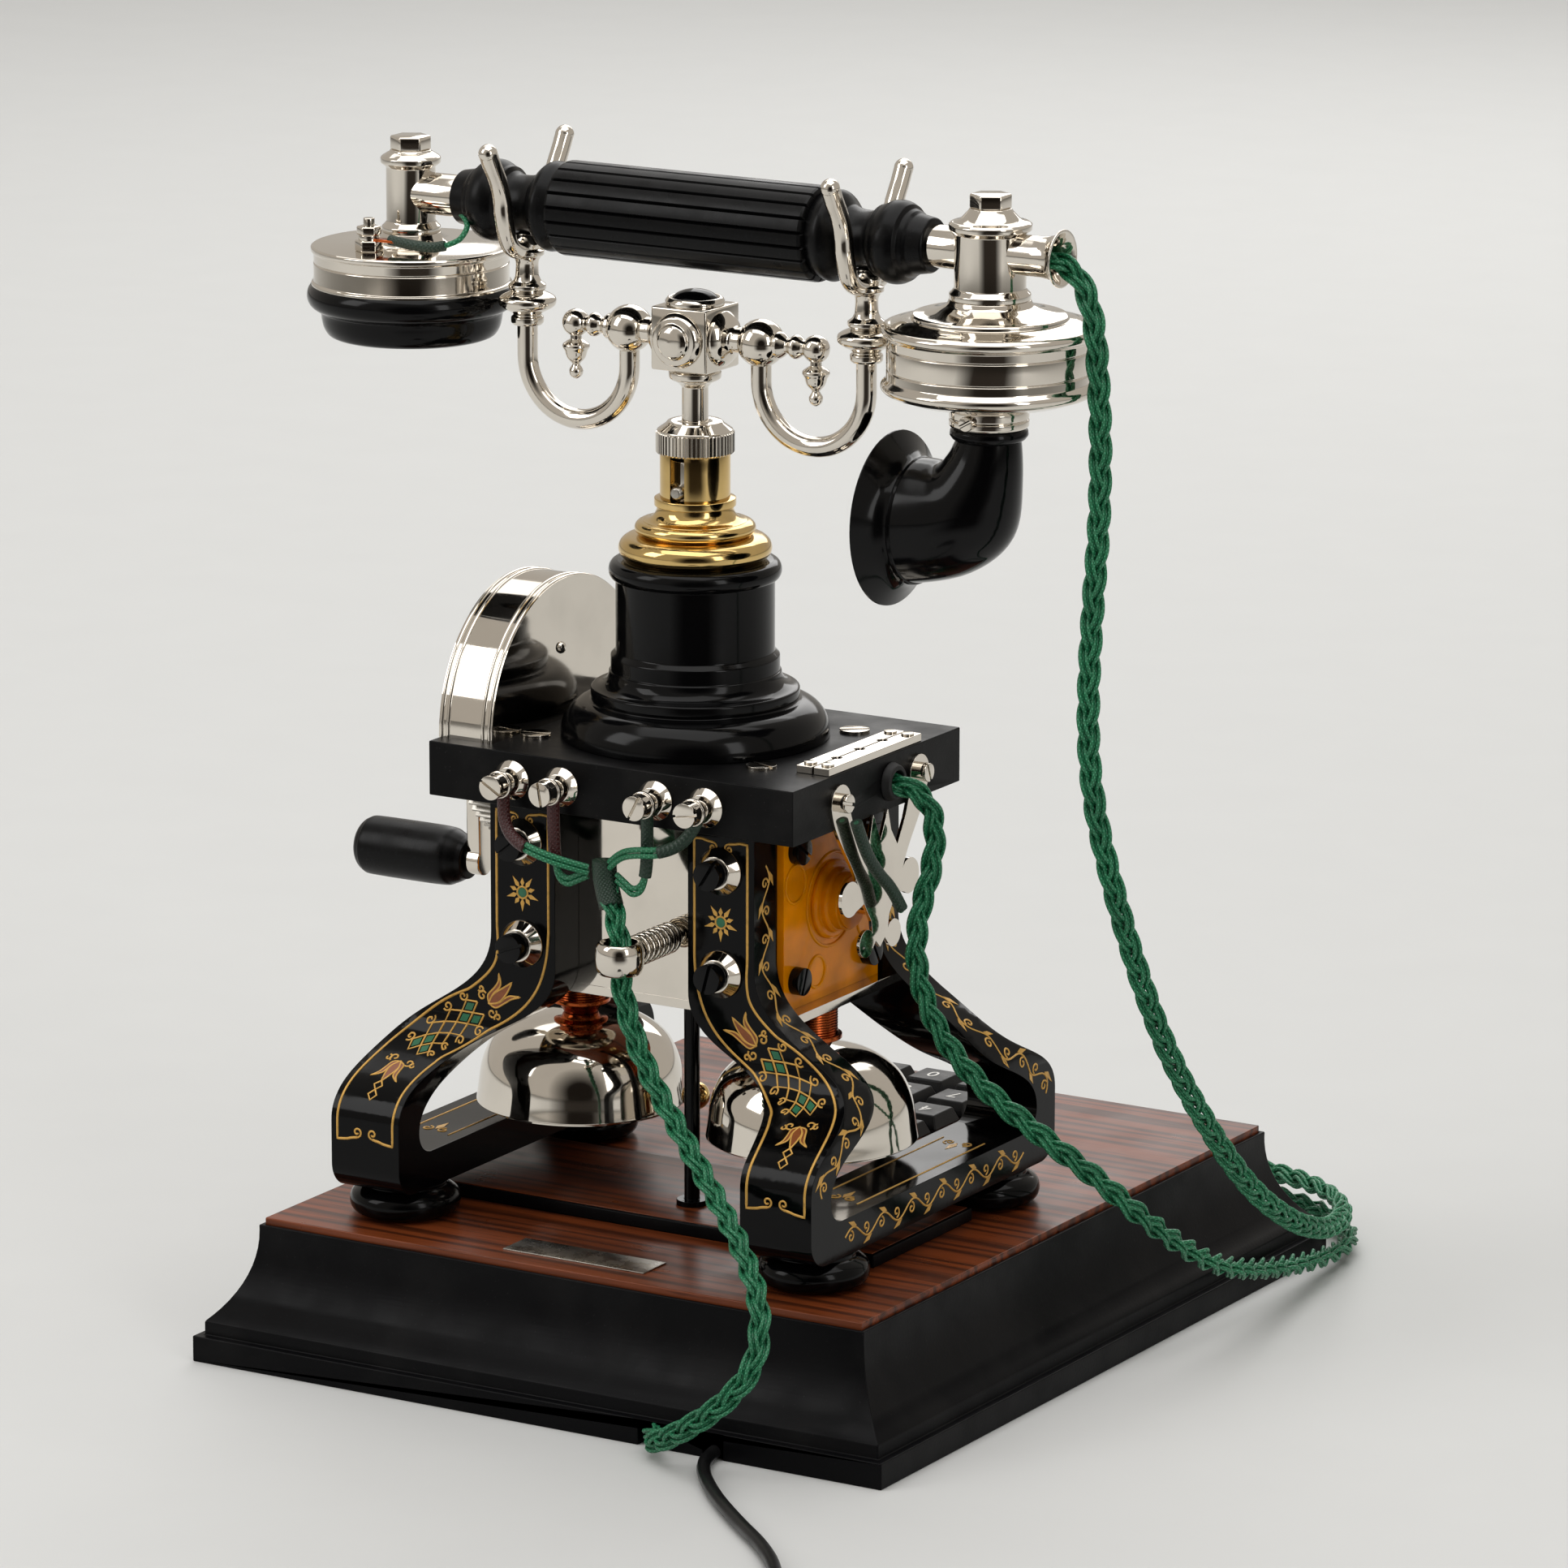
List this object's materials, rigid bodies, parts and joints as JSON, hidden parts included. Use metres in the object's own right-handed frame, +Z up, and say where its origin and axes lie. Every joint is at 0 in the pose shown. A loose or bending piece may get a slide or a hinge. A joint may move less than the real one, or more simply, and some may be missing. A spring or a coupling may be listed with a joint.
{
  "type": "push-button telephone",
  "caption": "Table telephone in old skeleton style: keypad plinth, cabriole side frames, magneto with crank and gear, column, sprung cradle, handset with a speaking horn.",
  "frame": {"origin": "middle of the plinth's underside, on the table", "axes": "+X towards the crank, -Y towards the person at the keypad, +Z up"},
  "size_m": [0.3252, 0.6059, 0.387],
  "materials": {
    "black_wood": "satin black lacquer",
    "rosewood": "satin veneer",
    "black_enamel": "gloss enamel",
    "black_ebonite": "polished",
    "satin_black": "satin",
    "nickel": "polished nickel plate",
    "brass": "polished",
    "copper": "lacquered copper wire",
    "iron": "blackened",
    "steel": "machined",
    "amber": "clear amber",
    "board": "plain board",
    "key_plastic": "satin",
    "green_cord": "woven",
    "lead_wrap": "woven",
    "black_cord": "smooth",
    "rubber": "matt"
  },
  "bodies": {
    "base": {"plinth_moulding": "black_wood", "plinth_top_panel": "rosewood", "cover_plate": "rosewood", "circuit_board": "board", "bun_feet": "black_enamel", "side_frame_right": "black_enamel", "side_frame_left": "black_enamel", "leg_washers": "nickel", "leg_screws": "black_ebonite", "magneto_plates": "nickel", "field_magnets": "iron", "end_covers": "amber", "end_cover_screws": "black_ebonite", "gear_cover": "nickel", "top_plate": "satin_black", "top_screws": "nickel", "arrester_plates": "nickel", "terminal_screws": "nickel", "cord_grommet": "rubber", "cord_bracket": "nickel", "column": "black_ebonite", "brass_collar": "brass", "knurled_nut": "nickel", "bells": "nickel", "ringer_coils": "copper", "cord_ring": "nickel", "conduit_tube": "black_enamel", "terminal_leads": "lead_wrap", "rear_cord": "green_cord", "handset_cord": "green_cord", "line_cord": "black_cord", "line_cord_coil": "black_cord", "line_plug": "black_ebonite"},
    "handset": {"handset_grip": "black_ebonite", "handset_frame": "nickel", "receiver_shell": "nickel", "ear_cap": "black_ebonite", "transmitter_shell": "nickel", "horn_clamp": "nickel", "horn": "black_ebonite"},
    "cradle": {"cradle_hub": "nickel", "cradle_arms": "nickel", "cradle_forks": "nickel"},
    "crank": {"drive_gear": "steel", "crank_arm": "nickel"},
    "handle": {"crank_handle": "black_ebonite"},
    "armature": {"armature": "brass"},
    "hammer": {"bell_hammer": "brass"},
    "key_1": {"key_1": "key_plastic"},
    "key_2": {"key_2": "key_plastic"},
    "key_3": {"key_3": "key_plastic"},
    "key_4": {"key_4": "key_plastic"},
    "key_5": {"key_5": "key_plastic"},
    "key_6": {"key_6": "key_plastic"},
    "key_7": {"key_7": "key_plastic"},
    "key_8": {"key_8": "key_plastic"},
    "key_9": {"key_9": "key_plastic"},
    "key_star": {"key_star": "key_plastic"},
    "key_0": {"key_0": "key_plastic"},
    "key_hash": {"key_hash": "key_plastic"}
  },
  "joints": [
    {"name": "handset_lift", "type": "slide", "parent": "base", "child": "handset", "axis": [0, 0, 1], "range_m": [0, 0.08], "deforming": ["handset_cord"]},
    {"name": "hook_rise", "type": "slide", "parent": "base", "child": "cradle", "axis": [0, 0, 1], "range_m": [0, 0.008]},
    {"name": "crank_turn", "type": "hinge", "parent": "base", "child": "crank", "pos_m": [0.0595, 0.047, 0.2008], "axis": [1, 0, 0], "continuous": true},
    {"name": "handle_spin", "type": "hinge", "parent": "crank", "child": "handle", "pos_m": [0.105, 0.047, 0.1491], "axis": [1, 0, 0], "continuous": true},
    {"name": "armature_spin", "type": "hinge", "parent": "base", "child": "armature", "pos_m": [0, 0.047, 0.1538], "axis": [1, 0, 0], "continuous": true},
    {"name": "hammer_swing", "type": "hinge", "parent": "base", "child": "hammer", "pos_m": [0, 0.047, 0.1165], "axis": [0, 1, 0], "range_deg": [-8, 8]},
    {"name": "press_1", "type": "slide", "parent": "base", "child": "key_1", "axis": [0, 0, -1], "range_m": [0, 0.0025], "stiffness_N_per_m": 300, "springref_m": -0.0012},
    {"name": "press_2", "type": "slide", "parent": "base", "child": "key_2", "axis": [0, 0, -1], "range_m": [0, 0.0025], "stiffness_N_per_m": 300, "springref_m": -0.0012},
    {"name": "press_3", "type": "slide", "parent": "base", "child": "key_3", "axis": [0, 0, -1], "range_m": [0, 0.0025], "stiffness_N_per_m": 300, "springref_m": -0.0012},
    {"name": "press_4", "type": "slide", "parent": "base", "child": "key_4", "axis": [0, 0, -1], "range_m": [0, 0.0025], "stiffness_N_per_m": 300, "springref_m": -0.0012},
    {"name": "press_5", "type": "slide", "parent": "base", "child": "key_5", "axis": [0, 0, -1], "range_m": [0, 0.0025], "stiffness_N_per_m": 300, "springref_m": -0.0012},
    {"name": "press_6", "type": "slide", "parent": "base", "child": "key_6", "axis": [0, 0, -1], "range_m": [0, 0.0025], "stiffness_N_per_m": 300, "springref_m": -0.0012},
    {"name": "press_7", "type": "slide", "parent": "base", "child": "key_7", "axis": [0, 0, -1], "range_m": [0, 0.0025], "stiffness_N_per_m": 300, "springref_m": -0.0012},
    {"name": "press_8", "type": "slide", "parent": "base", "child": "key_8", "axis": [0, 0, -1], "range_m": [0, 0.0025], "stiffness_N_per_m": 300, "springref_m": -0.0012},
    {"name": "press_9", "type": "slide", "parent": "base", "child": "key_9", "axis": [0, 0, -1], "range_m": [0, 0.0025], "stiffness_N_per_m": 300, "springref_m": -0.0012},
    {"name": "press_star", "type": "slide", "parent": "base", "child": "key_star", "axis": [0, 0, -1], "range_m": [0, 0.0025], "stiffness_N_per_m": 300, "springref_m": -0.0012},
    {"name": "press_0", "type": "slide", "parent": "base", "child": "key_0", "axis": [0, 0, -1], "range_m": [0, 0.0025], "stiffness_N_per_m": 300, "springref_m": -0.0012},
    {"name": "press_hash", "type": "slide", "parent": "base", "child": "key_hash", "axis": [0, 0, -1], "range_m": [0, 0.0025], "stiffness_N_per_m": 300, "springref_m": -0.0012}
  ],
  "couplings": [
    {"joint": "hook_rise", "follows": "handset_lift", "ratio": 0.1},
    {"joint": "armature_spin", "follows": "crank_turn", "ratio": -5.7143}
  ]
}
